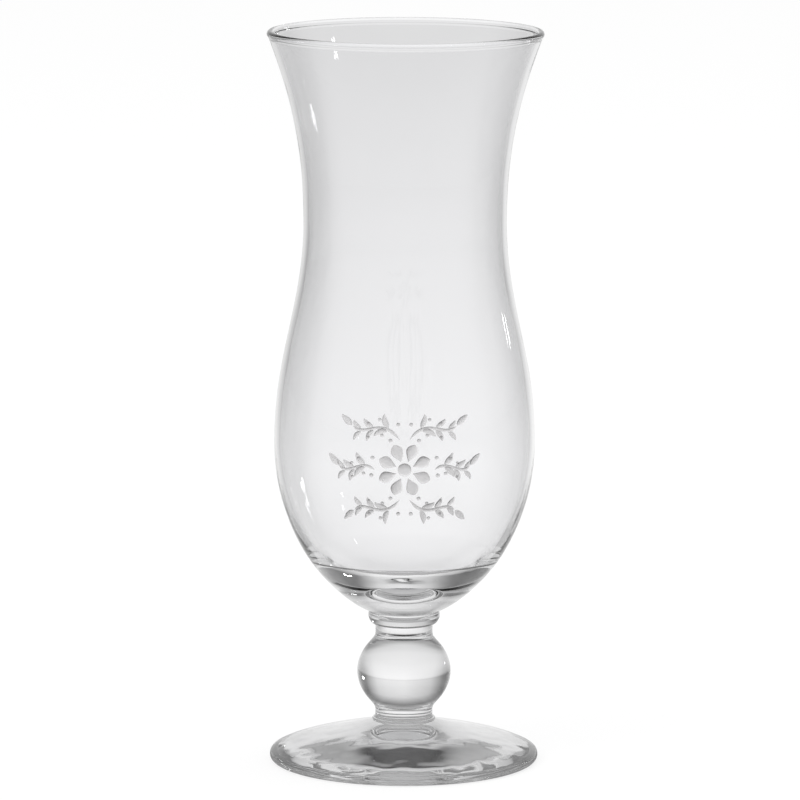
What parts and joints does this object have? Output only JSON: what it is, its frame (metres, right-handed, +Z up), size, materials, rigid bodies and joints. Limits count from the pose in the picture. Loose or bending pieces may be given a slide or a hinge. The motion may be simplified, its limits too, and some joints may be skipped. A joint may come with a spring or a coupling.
{
  "type": "hurricane glass",
  "caption": "Clear footed hurricane glass with a flared, waisted bowl on a short stem with one ball, for tall mixed drinks.",
  "frame": {"origin": "centre of the flat ring under the foot, on the surface that the glass stands on", "axes": "+Z up along the axis of the glass, from the foot to the mouth; -Y is the front, where the bowl can carry an etched ornament"},
  "size_m": [0.077, 0.077, 0.206],
  "materials": {
    "clear_glass": "clear and fire-polished",
    "etched_glass": "etched, satin white"
  },
  "bodies": {
    "root": {"bowl": "clear_glass", "upper_merese": "clear_glass", "ball_stem": "clear_glass", "lower_merese": "clear_glass", "foot": "clear_glass"}
  },
  "joints": []
}
